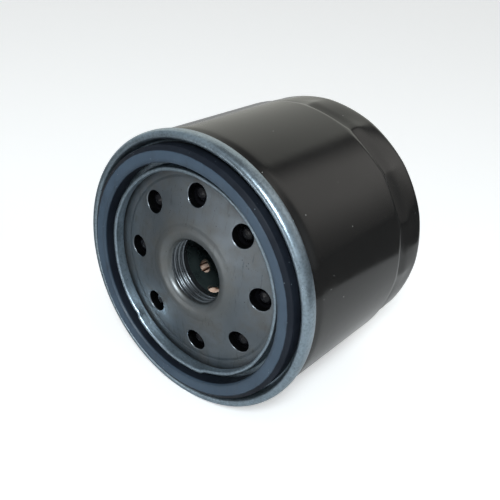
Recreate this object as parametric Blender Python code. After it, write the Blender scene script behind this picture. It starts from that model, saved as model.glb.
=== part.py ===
"""Spin-on oil filter for a small engine, lying on its side.

Units are metres, +Z is up. The filter's axis runs along +Y: the gasket faces -Y and the closed
end of the can faces +Y. The origin is on the surface that the filter lies on, under the middle
of its box. Every sub-part is built in the axis frame of the empty called filter_axis, where
local Z is the depth behind the gasket's sealing face.
"""

import math

import bmesh
import bpy
from mathutils import Vector

MM = 0.001

# Driving dimensions
LENGTH = 62.0 * MM                 # sealing face of the gasket to the closed end
RIM_RADIUS = 38.1 * MM             # outside of the rolled seam
CAN_RADIUS = 37.35 * MM            # outside of the can's round wall
FLAT_CORNER_RADIUS = 36.9 * MM     # corners between the wrench flats
FLAT_COUNT = 15
FLAT_PHASE = math.radians(18.0)    # one corner, from +X towards +Z; a flat faces straight down
SHEET = 0.5 * MM                   # can and lid sheet
GAP = 0.3 * MM                     # clearance between neighbours
GASKET_OUTER = 34.65 * MM
GASKET_INNER = 30.3 * MM
GASKET_HEIGHT = 5.0 * MM
COLLAR_RADIUS = 28.8 * MM          # outside of the lid's inner collar
COLLAR_TOP = 1.6 * MM              # depth of the collar's edge
PLATE_FACE = 5.9 * MM              # depth of the base plate's flat front face
PLATE_THICKNESS = 2.3 * MM
HUB_CREST = 3.1 * MM               # depth of the highest ring around the thread
THREAD_MINOR = 8.73 * MM           # 3/4-16 UNF female thread, minor radius
THREAD_MAJOR = 9.4 * MM
THREAD_PITCH = 25.4 * MM / 16
THREAD_START = 4.9 * MM
THREAD_TURNS = 4
NECK_END = 11.4 * MM
NECK_RADIUS = 10.7 * MM
INLET_COUNT = 8
INLET_CIRCLE = 21.5 * MM
INLET_RADIUS = 3.1 * MM
INLET_PHASE = math.radians(2.1)
ELEMENT_START = 12.1 * MM          # outer face of the element's open end cap
ELEMENT_END = 50.8 * MM            # outer face of its closed end cap
CAP_RADIUS = 32.6 * MM
TUBE_INNER = 9.6 * MM
TUBE_OUTER = 10.3 * MM
TUBE_START = 11.8 * MM
TUBE_END = 49.9 * MM
TUBE_HOLE_RADIUS = 1.5 * MM
TUBE_HOLE_ROWS = 10
TUBE_HOLE_STEP = 3.15 * MM
TUBE_HOLE_FIRST = 14.0 * MM
TUBE_HOLE_PHASE = math.radians(-95.0)
TUBE_HOLES_PER_ROW = 4
MEDIA_INNER = 11.6 * MM
MEDIA_OUTER = 31.0 * MM
MEDIA_START = 13.7 * MM
MEDIA_END = 48.6 * MM
PAPER = 0.5 * MM
PLEAT_COUNT = 36
BYPASS_TRAVEL = 3.0 * MM           # how far the bypass disc opens towards the gasket end
LIP_TRAVEL = 1.2 * MM              # how far the valve lip lifts off the base plate
SIDES = 60                         # facets round the can, lid and gasket, a multiple of FLAT_COUNT
PLATE_SIDES = 48                   # facets round the base plate
INNER_SIDES = 40                   # facets round the pieces inside the can
SMALL_SIDES = 24                   # facets round the bypass valve and the centre tube

AXIS_HEIGHT = RIM_RADIUS * math.cos(math.pi / SIDES)


def clear_scene():
    for item in list(bpy.data.objects):
        bpy.data.objects.remove(item, do_unlink=True)


def polar(radius, angle, depth):
    """A point in the axis frame; the angle runs from world +X towards world +Z."""
    return Vector((radius * math.cos(angle), -radius * math.sin(angle), depth))


def material(name, color, roughness, metallic):
    finish = bpy.data.materials.get(name) or bpy.data.materials.new(name)
    finish.use_nodes = True
    shader = finish.node_tree.nodes["Principled BSDF"]
    shader.inputs["Base Color"].default_value = (*color, 1.0)
    shader.inputs["Roughness"].default_value = roughness
    shader.inputs["Metallic"].default_value = metallic
    return finish


def black_paint():
    return material("black_paint", (0.016, 0.015, 0.013), 0.28, 0.0)


def zinc_plate():
    return material("zinc_plate", (0.42, 0.48, 0.54), 0.38, 0.9)


def bare_steel():
    return material("bare_steel", (0.24, 0.24, 0.24), 0.45, 0.8)


def dark_steel():
    return material("dark_steel", (0.08, 0.10, 0.10), 0.4, 0.8)


def gasket_rubber():
    return material("gasket_rubber", (0.03, 0.04, 0.055), 0.45, 0.0)


def valve_rubber():
    return material("valve_rubber", (0.01, 0.01, 0.011), 0.18, 0.0)


def tan_paper():
    return material("tan_paper", (0.52, 0.34, 0.22), 0.85, 0.0)


def potting_resin():
    return material("potting_resin", (0.30, 0.26, 0.18), 0.5, 0.0)


def spring_steel():
    return material("spring_steel", (0.33, 0.34, 0.36), 0.3, 0.95)


def place(name, mesh, axis, finish, sharp=35.0):
    """Puts a mesh in the scene under the filter's axis, shaded smooth up to the sharp angle."""
    item = bpy.data.objects.new(name, mesh)
    bpy.context.scene.collection.objects.link(item)
    item.parent = axis
    mesh.materials.append(finish)
    mesh.shade_smooth()
    mesh.set_sharp_from_angle(angle=math.radians(sharp))
    return item


def mesh_from(bm, name):
    bmesh.ops.recalc_face_normals(bm, faces=bm.faces)
    mesh = bpy.data.meshes.new(name)
    bm.to_mesh(mesh)
    bm.free()
    return mesh


def bridge_rings(bm, ring_a, ring_b):
    count = max(len(ring_a), len(ring_b))
    for i in range(count):
        j = (i + 1) % count
        if len(ring_a) == 1:
            bm.faces.new((ring_a[0], ring_b[j], ring_b[i]))
        elif len(ring_b) == 1:
            bm.faces.new((ring_a[i], ring_a[j], ring_b[0]))
        else:
            bm.faces.new((ring_a[i], ring_a[j], ring_b[j], ring_b[i]))


def turned(name, outline, sides=SIDES):
    """Turns an outline of (radius, depth) pairs round the axis. A radius of 0 is a pole."""
    bm = bmesh.new()
    rings = []
    for radius, depth in outline:
        if radius == 0.0:
            rings.append([bm.verts.new(polar(0.0, 0.0, depth))])
            continue
        steps = [(2 * i + 1) * math.pi / sides for i in range(sides)]
        rings.append([bm.verts.new(polar(radius, step, depth)) for step in steps])
    for ring_a, ring_b in zip(rings, rings[1:]):
        bridge_rings(bm, ring_a, ring_b)
    if outline[0][0] > 0.0:
        bridge_rings(bm, rings[-1], rings[0])
    return mesh_from(bm, name)


def cutter(name, bm, axis):
    item = bpy.data.objects.new(name, mesh_from(bm, name))
    bpy.context.scene.collection.objects.link(item)
    item.parent = axis
    item.hide_render = True
    item.display_type = "WIRE"
    return item


def cut(item, tool):
    step = item.modifiers.new("cut", "BOOLEAN")
    step.operation = "DIFFERENCE"
    step.solver = "EXACT"
    step.object = tool


def add_rod(bm, start, end, radius, sides):
    """Adds a closed round rod between two points."""
    along = (end - start).normalized()
    side = along.orthogonal().normalized()
    up = along.cross(side)
    rings = []
    for centre in (start, end):
        ring = []
        for i in range(sides):
            turn = 2 * math.pi * i / sides
            ring.append(bm.verts.new(centre + radius * (math.cos(turn) * side + math.sin(turn) * up)))
        rings.append(ring)
    bridge_rings(bm, rings[0], rings[1])
    bm.faces.new(rings[0])
    bm.faces.new(rings[1])


# Outside of the filter

def flat_radius(angle):
    """Radius of the polygon of wrench flats at an angle round the axis."""
    width = 2 * math.pi / FLAT_COUNT
    from_middle = (angle - FLAT_PHASE) % width - width / 2
    return FLAT_CORNER_RADIUS * math.cos(width / 2) / math.cos(from_middle)


def canister(axis):
    """Deep-drawn can: a round wall that steps in to the wrench flats, then the closed end."""
    step_start = 46.0 * MM
    step_end = 49.6 * MM
    shoulder = 3.0 * MM
    dish_radius = 20.0 * MM
    dish_depth = 1.0 * MM

    def wall(depth, inset=0.0):
        return lambda angle: (CAN_RADIUS - inset, depth)

    def flats(depth, inset=0.0):
        return lambda angle: (flat_radius(angle) - inset, depth)

    def disc(radius, depth):
        return lambda angle: (radius, depth)

    bend = shoulder * (1 - math.cos(math.pi / 4))
    outside = [wall(3.2 * MM), wall(step_start), flats(step_end), flats(LENGTH - shoulder)]
    outside += [flats(LENGTH - bend, bend), flats(LENGTH, shoulder)]
    outside += [disc(dish_radius + 2 * MM, LENGTH), disc(dish_radius, LENGTH - dish_depth)]
    inside = [disc(dish_radius, LENGTH - dish_depth - SHEET), disc(dish_radius + 2 * MM, LENGTH - SHEET)]
    inside += [flats(LENGTH - SHEET, shoulder), flats(LENGTH - SHEET - bend, SHEET + bend)]
    inside += [flats(step_end, SHEET), wall(step_start, SHEET), wall(3.2 * MM, SHEET)]

    bm = bmesh.new()
    angles = [FLAT_PHASE + 2 * math.pi * i / SIDES for i in range(SIDES)]
    rings = []
    for station in outside + inside:
        rings.append([bm.verts.new(polar(station(angle)[0], angle, station(angle)[1])) for angle in angles])
        if station is outside[-1]:
            rings.append([bm.verts.new(polar(0.0, 0.0, LENGTH - dish_depth))])
            rings.append([bm.verts.new(polar(0.0, 0.0, LENGTH - dish_depth - SHEET))])
    for ring_a, ring_b in zip(rings, rings[1:]):
        if len(ring_a) > 1 or len(ring_b) > 1:
            bridge_rings(bm, ring_a, ring_b)
    bridge_rings(bm, rings[-1], rings[0])
    return place("canister", mesh_from(bm, "canister"), axis, black_paint(), 20.0)


def seam_retainer(axis):
    """Thin lid: rolled rim over the can's edge, gasket channel and inner collar, from one sheet."""
    groove = RIM_RADIUS - 2.6 * MM
    floor = PLATE_FACE - GAP - SHEET
    curl = CAN_RADIUS + GAP
    outline = [
        (COLLAR_RADIUS - SHEET, COLLAR_TOP),
        (COLLAR_RADIUS, COLLAR_TOP),
        (COLLAR_RADIUS, floor),
        (groove, floor),
        (groove, 2.9 * MM),
        (groove + 0.5 * MM, 1.95 * MM),
        (groove + 1.2 * MM, 1.7 * MM),
        (RIM_RADIUS - 0.55 * MM, 2.2 * MM),
        (RIM_RADIUS - 0.1 * MM, 3.4 * MM),
        (RIM_RADIUS, 4.7 * MM),
        (RIM_RADIUS - 0.1 * MM, 6.4 * MM),
        (RIM_RADIUS - 0.3 * MM, 7.2 * MM),
        (curl, 7.0 * MM),
        (curl, 3.1 * MM),
        (groove + 1.4 * MM, 2.3 * MM),
        (groove + SHEET, 3.0 * MM),
        (groove + SHEET, floor + SHEET),
        (COLLAR_RADIUS - SHEET, floor + SHEET),
    ]
    return place("seam_retainer", turned("seam_retainer", outline), axis, zinc_plate(), 40.0)


def seam_compound(axis):
    """Bead of sealing compound between the can's edge and the lid, inside the rolled seam."""
    inner = RIM_RADIUS - 1.95 * MM
    outer = CAN_RADIUS - SHEET - 0.15 * MM
    outline = [(inner, 3.4 * MM), (outer, 3.4 * MM), (outer, 5.4 * MM), (inner, 5.4 * MM)]
    return place("seam_compound", turned("seam_compound", outline, INNER_SIDES), axis, potting_resin())


def gasket(axis):
    """Square-section sealing ring that stands proud of the rim."""
    edge = 0.35 * MM
    outline = [
        (GASKET_INNER + edge, 0.0),
        (GASKET_OUTER - edge, 0.0),
        (GASKET_OUTER, edge),
        (GASKET_OUTER, GASKET_HEIGHT),
        (GASKET_INNER, GASKET_HEIGHT),
        (GASKET_INNER, edge),
    ]
    return place("gasket", turned("gasket", outline), axis, gasket_rubber(), 50.0)


def thread_outline():
    """V grooves of the neck's thread, from its entry to its last turn."""
    points = []
    for turn in range(THREAD_TURNS):
        start = THREAD_START + 0.4 * MM + turn * THREAD_PITCH * 0.93
        points.append((THREAD_MINOR, start))
        points.append((THREAD_MAJOR, start + THREAD_PITCH / 2))
    points.append((THREAD_MINOR, NECK_END - 0.2 * MM))
    return points


def base_plate(axis):
    """Tapping plate: flat rim, cone-shaped middle with the inlet holes, and the threaded neck."""
    edge = CAN_RADIUS - SHEET - GAP
    bend = INLET_CIRCLE + INLET_RADIUS + 0.5 * MM
    back = PLATE_FACE + PLATE_THICKNESS
    ring = 13.4 * MM
    ring_depth = 3.55 * MM
    outline = [
        (edge, PLATE_FACE),
        (bend + 0.6 * MM, PLATE_FACE),
        (bend - 0.6 * MM, PLATE_FACE - 0.12 * MM),
        (17.5 * MM, 4.45 * MM),
        (ring, ring_depth),
        (12.6 * MM, HUB_CREST + 0.15 * MM),
        (11.3 * MM, HUB_CREST),
        (9.9 * MM, HUB_CREST + 0.45 * MM),
        (9.1 * MM, HUB_CREST + 1.2 * MM),
    ]
    outline += thread_outline()
    outline += [
        (NECK_RADIUS, NECK_END),
        (NECK_RADIUS, 7.7 * MM),
        (12.3 * MM, 6.6 * MM),
        (17.5 * MM, 4.45 * MM + PLATE_THICKNESS + 0.1 * MM),
        (bend, back),
        (edge - PLATE_THICKNESS * 0.6, back),
        (edge - PLATE_THICKNESS * 0.6, back + 2.2 * MM),
        (edge, back + 2.2 * MM),
    ]
    plate = place("base_plate", turned("base_plate", outline, PLATE_SIDES), axis, bare_steel(), 25.0)
    bm = bmesh.new()
    for i in range(INLET_COUNT):
        angle = INLET_PHASE + 2 * math.pi * i / INLET_COUNT
        front = polar(INLET_CIRCLE, angle, 0.0)
        add_rod(bm, front, polar(INLET_CIRCLE, angle, 15 * MM), INLET_RADIUS, 16)
    cut(plate, cutter("inlet_drill", bm, axis))
    return plate


# Anti-drain-back valve

def antidrain_collar(axis):
    """Clamped collar of the rubber valve, round the neck and against the element."""
    inner = NECK_RADIUS + 0.4 * MM
    outline = [(inner, 8.0 * MM), (14.2 * MM, 7.6 * MM), (14.2 * MM, 11.8 * MM), (inner, 11.8 * MM)]
    mesh = turned("antidrain_collar", outline, INNER_SIDES)
    return place("antidrain_collar", mesh, axis, valve_rubber())


def antidrain_lip(axis):
    """Flexing lip of the rubber valve, which closes the inlet holes from behind."""
    root_back = ELEMENT_START - LIP_TRAVEL - 2 * GAP
    middle = 9.4 * MM
    outline = [
        (14.5 * MM, 8.7 * MM),
        (24.0 * MM, 8.9 * MM),
        (26.2 * MM, 8.5 * MM),
        (26.8 * MM, 9.0 * MM),
        (26.4 * MM, 9.7 * MM),
        (24.0 * MM, 10.1 * MM),
        (14.5 * MM, root_back),
    ]
    outline = [(radius, depth - middle) for radius, depth in outline]
    item = place("antidrain_lip", turned("antidrain_lip", outline, INNER_SIDES), axis, valve_rubber())
    item.location = (0.0, 0.0, middle)
    return item


# Filter element

def end_cap(name, axis, face, inward, hole, rim_depth):
    """Pressed end cap: a disc with a rim turned over the ends of the pleats."""
    thick = 0.5 * MM
    back = face + inward * thick
    outline = [
        (hole, face),
        (CAP_RADIUS, face),
        (CAP_RADIUS, face + inward * rim_depth),
        (CAP_RADIUS - thick, face + inward * rim_depth),
        (CAP_RADIUS - thick, back),
        (hole, back),
    ]
    return place(name, turned(name, outline, INNER_SIDES), axis, zinc_plate())


def potting_ring(name, axis, start, end):
    """Cured adhesive between the paper and an end cap."""
    outer = CAP_RADIUS - 0.9 * MM
    outline = [(MEDIA_INNER, start), (outer, start), (outer, end), (MEDIA_INNER, end)]
    return place(name, turned(name, outline, INNER_SIDES), axis, potting_resin())


def center_tube(axis):
    """Perforated tube that holds the paper against the oil's pressure."""
    outline = [
        (TUBE_INNER, TUBE_START),
        (TUBE_OUTER, TUBE_START),
        (TUBE_OUTER, TUBE_END),
        (TUBE_INNER, TUBE_END),
    ]
    tube = place("center_tube", turned("center_tube", outline, SMALL_SIDES), axis, dark_steel())
    bm = bmesh.new()
    for row in range(TUBE_HOLE_ROWS):
        depth = TUBE_HOLE_FIRST + row * TUBE_HOLE_STEP
        stagger = (row % 2) * math.pi / TUBE_HOLES_PER_ROW
        for i in range(TUBE_HOLES_PER_ROW):
            angle = TUBE_HOLE_PHASE + stagger + 2 * math.pi * i / TUBE_HOLES_PER_ROW
            start = polar(TUBE_INNER - 2 * MM, angle, depth)
            add_rod(bm, start, polar(TUBE_OUTER + 2 * MM, angle, depth), TUBE_HOLE_RADIUS, 8)
    cut(tube, cutter("tube_punch", bm, axis))
    return tube


def pleat_path():
    """Middle line of the folded paper, as (x, y) points, from one side of its seam to the other."""
    allowance = math.radians(2.5)
    pitch = (2 * math.pi - 2 * allowance) / PLEAT_COUNT
    outer_fold = 0.7 * MM / MEDIA_OUTER
    inner_fold = 0.42 * MM / MEDIA_INNER
    inner = MEDIA_INNER + PAPER
    outer = MEDIA_OUTER - PAPER / 2
    seam_half = 0.4 * MM
    seam_tip = 28.0 * MM
    path = [(seam_tip, seam_half), arc_point(inner, allowance)]
    for i in range(PLEAT_COUNT):
        if i > 0:
            path.append(arc_point(inner, allowance + pitch * i - inner_fold))
            path.append(arc_point(inner, allowance + pitch * i + inner_fold))
        path.append(arc_point(outer, allowance + pitch * (i + 0.5) - outer_fold))
        path.append(arc_point(outer, allowance + pitch * (i + 0.5) + outer_fold))
    path.append(arc_point(inner, -allowance))
    path.append((seam_tip, -seam_half))
    return path


def arc_point(radius, angle):
    return (radius * math.cos(angle), radius * math.sin(angle))


def thicken(path, half):
    """Both sides of a middle line, offset by half a thickness with mitred corners."""
    left = []
    right = []
    for i, point in enumerate(path):
        here = Vector(point)
        before = Vector(path[max(i - 1, 0)])
        after = Vector(path[min(i + 1, len(path) - 1)])
        into = (here - before).normalized() if i > 0 else (after - here).normalized()
        out = (after - here).normalized() if i < len(path) - 1 else into
        normal = Vector((-into.y - out.y, into.x + out.x)).normalized()
        spread = half / max(normal.dot(Vector((-into.y, into.x))), 0.6)
        left.append(here + normal * spread)
        right.append(here - normal * spread)
    return left, right


def filter_media(axis):
    """Pleated paper: one folded strip whose two ends meet at the seam."""
    left, right = thicken(pleat_path(), PAPER / 2)
    bm = bmesh.new()
    rings = []
    for depth in (MEDIA_START, MEDIA_END):
        rings.append([bm.verts.new((p.x, p.y, depth)) for p in left])
        rings.append([bm.verts.new((p.x, p.y, depth)) for p in right])
    start_left, start_right, end_left, end_right = rings
    last = len(left) - 1
    for i in range(last):
        bm.faces.new((start_left[i], start_left[i + 1], end_left[i + 1], end_left[i]))
        bm.faces.new((start_right[i], start_right[i + 1], end_right[i + 1], end_right[i]))
        bm.faces.new((start_left[i], start_left[i + 1], start_right[i + 1], start_right[i]))
        bm.faces.new((end_left[i], end_left[i + 1], end_right[i + 1], end_right[i]))
    for i in (0, last):
        bm.faces.new((start_left[i], start_right[i], end_right[i], end_left[i]))
    return place("filter_media", mesh_from(bm, "filter_media"), axis, tan_paper(), 30.0)


def media_clip(axis):
    """Folded metal strip over the paper's seam."""
    inside = 0.85 * MM
    outside = inside + 0.3 * MM
    leg = 24.0 * MM
    tip = 28.35 * MM
    section = [
        (leg, inside), (tip, inside), (tip, -inside), (leg, -inside),
        (leg, -outside), (tip + 0.35 * MM, -outside), (tip + 0.35 * MM, outside), (leg, outside),
    ]
    bm = bmesh.new()
    rings = []
    for depth in (MEDIA_START, MEDIA_END):
        rings.append([bm.verts.new((x, y, depth)) for x, y in section])
    bridge_rings(bm, rings[0], rings[1])
    bm.faces.new(rings[0])
    bm.faces.new(rings[1])
    return place("media_clip", mesh_from(bm, "media_clip"), axis, spring_steel())


# Bypass valve, in the closed end cap

def bypass_housing(axis):
    """Cup through the closed end cap, with the valve's inlet in its flange."""
    outline = [
        (5.0 * MM, 51.7 * MM),
        (5.0 * MM, 51.1 * MM),
        (7.9 * MM, 51.1 * MM),
        (7.9 * MM, 40.6 * MM),
        (8.5 * MM, 40.6 * MM),
        (8.5 * MM, 51.1 * MM),
        (10.8 * MM, 51.1 * MM),
        (10.8 * MM, 51.7 * MM),
    ]
    return place("bypass_housing", turned("bypass_housing", outline, SMALL_SIDES), axis, zinc_plate())


def bypass_seat_ring(axis):
    """Soft washer that the bypass disc closes against."""
    outline = [(5.4 * MM, 50.0 * MM), (7.6 * MM, 50.0 * MM), (7.6 * MM, 50.8 * MM), (5.4 * MM, 50.8 * MM)]
    mesh = turned("bypass_seat_ring", outline, SMALL_SIDES)
    return place("bypass_seat_ring", mesh, axis, valve_rubber())


def bypass_poppet(axis):
    """Disc and guide stem of the bypass valve, closed against its seat at rest."""
    face = 49.7 * MM
    stem = 8.0 * MM + BYPASS_TRAVEL
    outline = [
        (0.0, face),
        (7.2 * MM, face),
        (7.2 * MM, face - 0.8 * MM),
        (2.6 * MM, face - 0.8 * MM),
        (1.4 * MM, face - 2.0 * MM),
        (1.4 * MM, face - stem),
        (0.0, face - stem),
    ]
    outline = [(radius, depth - face) for radius, depth in outline]
    item = place("bypass_poppet", turned("bypass_poppet", outline, SMALL_SIDES), axis, spring_steel())
    item.location = (0.0, 0.0, face)
    return item


def bypass_spring_retainer(axis):
    """Perforated disc in the housing's inner end that carries the spring and guides the stem."""
    outline = [
        (1.8 * MM, 41.0 * MM),
        (7.6 * MM, 41.0 * MM),
        (7.6 * MM, 43.0 * MM),
        (7.1 * MM, 43.0 * MM),
        (7.1 * MM, 41.6 * MM),
        (1.8 * MM, 41.6 * MM),
    ]
    mesh = turned("bypass_spring_retainer", outline, SMALL_SIDES)
    disc = place("bypass_spring_retainer", mesh, axis, spring_steel())
    bm = bmesh.new()
    for i in range(3):
        angle = 2 * math.pi * i / 3
        add_rod(bm, polar(3.4 * MM, angle, 39 * MM), polar(3.4 * MM, angle, 44 * MM), 1.0 * MM, 8)
    cut(disc, cutter("flow_punch", bm, axis))
    return disc


def bypass_spring(axis):
    """Coil spring round the stem, between its retainer and the disc."""
    turns = 3.5
    steps = 12
    sides = 6
    wire = 0.45 * MM
    radius = 5.6 * MM
    start = 42.4 * MM
    end = 48.1 * MM
    along = Vector((0.0, 0.0, 1.0))
    bm = bmesh.new()
    rings = []
    count = int(turns * steps) + 1
    for i in range(count):
        part = i / (count - 1)
        turn = 2 * math.pi * turns * part
        out = polar(1.0, turn, 0.0)
        centre = polar(radius, turn, start + (end - start) * part)
        ring = []
        for k in range(sides):
            angle = 2 * math.pi * k / sides
            offset = wire * (math.cos(angle) * out + math.sin(angle) * along)
            ring.append(bm.verts.new(centre + offset))
        rings.append(ring)
    for ring_a, ring_b in zip(rings, rings[1:]):
        bridge_rings(bm, ring_a, ring_b)
    bm.faces.new(rings[0])
    bm.faces.new(rings[-1])
    return place("bypass_spring", mesh_from(bm, "bypass_spring"), axis, spring_steel(), 60.0)


def element_spring(axis):
    """Stamped leaf spring: a ring on the element and three legs against the can's closed end."""
    count = 24
    legs = 3
    ring_depth = 52.3 * MM
    leg_path = [(21.0, 54.4), (25.5, 58.6), (28.5, 60.8), (30.5, 60.8)]
    bm = bmesh.new()
    rings = []
    for radius in (12.2 * MM, 17.0 * MM):
        steps = [2 * math.pi * i / count for i in range(count)]
        rings.append([bm.verts.new(polar(radius, step, ring_depth)) for step in steps])
    bridge_rings(bm, rings[0], rings[1])
    for leg in range(legs):
        first = leg * count // legs
        edge = [rings[1][first], rings[1][first + 1]]
        middle = (edge[0].co + edge[1].co) / 2
        out = Vector((middle.x, middle.y, 0.0)).normalized()
        across = (edge[1].co - edge[0].co) / 2
        for radius, depth in leg_path:
            centre = out * radius * MM + Vector((0.0, 0.0, depth * MM))
            tip = [bm.verts.new(centre - across), bm.verts.new(centre + across)]
            bm.faces.new((edge[0], edge[1], tip[1], tip[0]))
            edge = tip
    spring = place("element_spring", mesh_from(bm, "element_spring"), axis, spring_steel())
    sheet = spring.modifiers.new("sheet", "SOLIDIFY")
    sheet.thickness = 0.5 * MM
    sheet.offset = 0.0
    return spring


def build():
    clear_scene()
    axis = bpy.data.objects.new("filter_axis", None)
    bpy.context.scene.collection.objects.link(axis)
    axis.location = (0.0, -LENGTH / 2, AXIS_HEIGHT)
    axis.rotation_euler = (-math.pi / 2, 0.0, 0.0)

    canister(axis)
    seam_retainer(axis)
    seam_compound(axis)
    gasket(axis)
    base_plate(axis)
    antidrain_collar(axis)
    antidrain_lip(axis)
    end_cap("open_end_cap", axis, ELEMENT_START, 1, TUBE_OUTER + GAP, 4.0 * MM)
    end_cap("closed_end_cap", axis, ELEMENT_END, -1, 8.9 * MM, 4.0 * MM)
    potting_ring("open_end_potting", axis, ELEMENT_START + 0.8 * MM, MEDIA_START - GAP)
    potting_ring("closed_end_potting", axis, MEDIA_END + GAP, ELEMENT_END - 0.8 * MM)
    center_tube(axis)
    filter_media(axis)
    media_clip(axis)
    bypass_housing(axis)
    bypass_seat_ring(axis)
    bypass_poppet(axis)
    bypass_spring_retainer(axis)
    bypass_spring(axis)
    element_spring(axis)


build()
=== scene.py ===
"""Looks of the spin-on oil filter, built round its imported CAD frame."""

import bisect
import math

import bmesh
import bpy
from mathutils import Matrix, Vector


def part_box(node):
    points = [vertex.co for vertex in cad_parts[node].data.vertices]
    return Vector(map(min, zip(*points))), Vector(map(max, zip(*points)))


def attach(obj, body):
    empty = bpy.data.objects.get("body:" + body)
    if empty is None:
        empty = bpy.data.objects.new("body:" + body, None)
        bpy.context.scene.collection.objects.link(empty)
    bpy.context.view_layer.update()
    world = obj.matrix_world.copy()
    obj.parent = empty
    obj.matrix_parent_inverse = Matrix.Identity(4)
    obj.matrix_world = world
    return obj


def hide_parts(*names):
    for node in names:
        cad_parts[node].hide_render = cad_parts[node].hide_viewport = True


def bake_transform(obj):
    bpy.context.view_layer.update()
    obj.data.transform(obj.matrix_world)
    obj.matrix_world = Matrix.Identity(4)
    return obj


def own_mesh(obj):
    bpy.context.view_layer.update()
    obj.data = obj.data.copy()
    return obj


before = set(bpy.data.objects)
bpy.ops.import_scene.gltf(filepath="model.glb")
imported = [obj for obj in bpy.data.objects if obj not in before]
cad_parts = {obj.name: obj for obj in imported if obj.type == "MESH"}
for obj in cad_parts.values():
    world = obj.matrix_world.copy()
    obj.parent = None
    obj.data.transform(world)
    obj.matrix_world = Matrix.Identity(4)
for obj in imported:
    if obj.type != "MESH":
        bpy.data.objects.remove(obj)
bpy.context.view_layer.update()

MM = 0.001

# Places from the frame, in millimetres. Depth is measured behind the gasket's sealing face.
GASKET_LOW, GASKET_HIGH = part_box("gasket")
CAN_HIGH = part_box("canister")[1]
FACE_Y = GASKET_LOW[1] / MM
AXIS_Z = (GASKET_LOW[2] + GASKET_HIGH[2]) / 2 / MM
LENGTH = CAN_HIGH[1] / MM - FACE_Y

# Sizes in millimetres
RIM_RADIUS = 38.1
CAN_RADIUS = 37.35
GASKET_OUTER = 34.65
GASKET_INNER = 30.3
GASKET_HEIGHT = 5.0
COLLAR_RADIUS = 28.8
COLLAR_TOP = 2.0
HEM = 1.14
PLATE_FACE = 5.9
PLATE_THICKNESS = 2.3
PLATE_EDGE = 36.5
SHEET = 0.5
GAP = 0.3
ROLL_MIDDLE = 3.75
ROLL_FRONT = 2.0
ROLL_BACK = 2.6
STEP_START = 45.4
STEP_END = 50.4
CAN_TOUCH = 46.3
FLAT_COUNT = 15
FLAT_CORNER_RADIUS = 36.9
FLAT_CORNER_SOFTNESS = 0.34
FLAT_PHASE = math.radians(18.0)
INLET_COUNT = 8
INLET_CIRCLE = 21.5
INLET_RADIUS = 3.1
INLET_PHASE = math.radians(2.1)
THREAD_MINOR = 8.73
THREAD_MAJOR = 9.5
THREAD_PITCH = 25.4 / 16
THREAD_START = 4.9
THREAD_END = 9.9
RELIEF_START = 9.5
RELIEF_DEPTH = 0.55
NECK_END = 11.4
NECK_RADIUS = 10.7

# The photograph's view: the camera's place from the middle of the gasket's face
VIEW_OFFSET = Vector((109.03, -115.33, 93.61))
VIEW_FORWARD = Vector((-0.5353, 0.7023, -0.4694))
VIEW_RIGHT = Vector((0.7706, 0.6335, 0.0692))
VIEW_LENS = 51.25

# Key light: its direction from the middle of the gasket's face, and its distance in metres
KEY_AZIMUTH = math.radians(142)
KEY_ELEVATION = math.radians(42)
KEY_REACH = 0.62

# Material slots of the tapping plate, after its own steel: cut thread, hole walls painted dark as
# shade, and rubbed hole edges painted lighter as a highlight
CUT, HOLE_WALL_SHADE, RUBBED_EDGE_HIGHLIGHT = 1, 2, 3


def point(radius, angle, depth):
    """World place of a point; the angle runs from +X towards +Z round the filter's axis."""
    x = radius * math.cos(angle)
    z = AXIS_Z + radius * math.sin(angle)
    return Vector((x, FACE_Y + depth, z)) * MM


def polar(radius, angle):
    """Place of a point in the plane across the axis, in millimetres."""
    return Vector((radius * math.cos(angle), radius * math.sin(angle)))


def inlet_angle(i):
    return INLET_PHASE + 2 * math.pi * i / INLET_COUNT


# Mesh helpers

def new_piece(name, bm, finish, smooth=True):
    bmesh.ops.remove_doubles(bm, verts=bm.verts, dist=0.000001)
    bmesh.ops.recalc_face_normals(bm, faces=bm.faces)
    mesh = bpy.data.meshes.new(name)
    bm.to_mesh(mesh)
    bm.free()
    if smooth:
        mesh.shade_smooth()
    for slot in finish if isinstance(finish, tuple) else (finish,):
        mesh.materials.append(slot)
    piece = bpy.data.objects.new(name, mesh)
    bpy.context.scene.collection.objects.link(piece)
    return piece


def rounded(corners, steps=6, closed=True, hold=0.12):
    """Outline of (radius, depth) points with each (radius, depth, fillet) corner made an arc."""
    points = []
    count = len(corners)
    for i, (radius, depth, fillet) in enumerate(corners):
        here = Vector((radius, depth))
        if fillet <= 0 or (not closed and i in (0, count - 1)):
            points.append(here)
            continue
        to_last = Vector(corners[i - 1][:2]) - here
        to_next = Vector(corners[(i + 1) % count][:2]) - here
        into = to_last.normalized()
        out = to_next.normalized()
        half = into.angle(out) / 2
        if half > math.radians(88.5):
            points.append(here)
            continue
        reach = min(fillet / math.tan(half), to_last.length * 0.48, to_next.length * 0.48)
        real = reach * math.tan(half)
        centre = here + (into + out).normalized() * (real / math.sin(half))
        first = here + into * reach - centre
        last = here + out * reach - centre
        sweep = first.angle(last)
        if to_last.length * 0.5 > reach + hold:
            points.append(here + into * (reach + hold))
        for k in range(steps + 1):
            part = k / steps
            scale = math.sin(sweep)
            mix = (first * math.sin((1 - part) * sweep) + last * math.sin(part * sweep)) / scale
            points.append(centre + mix)
        if to_next.length * 0.5 > reach + hold:
            points.append(here + out * (reach + hold))
    return [(p.x, p.y) for p in points]


def bridge(bm, ring_a, ring_b, slot=0):
    count = max(len(ring_a), len(ring_b))
    for i in range(count):
        j = (i + 1) % count
        if len(ring_a) == 1:
            face = bm.faces.new((ring_a[0], ring_b[j], ring_b[i]))
        elif len(ring_b) == 1:
            face = bm.faces.new((ring_a[i], ring_a[j], ring_b[0]))
        else:
            face = bm.faces.new((ring_a[i], ring_a[j], ring_b[j], ring_b[i]))
        face.material_index = slot


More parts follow.
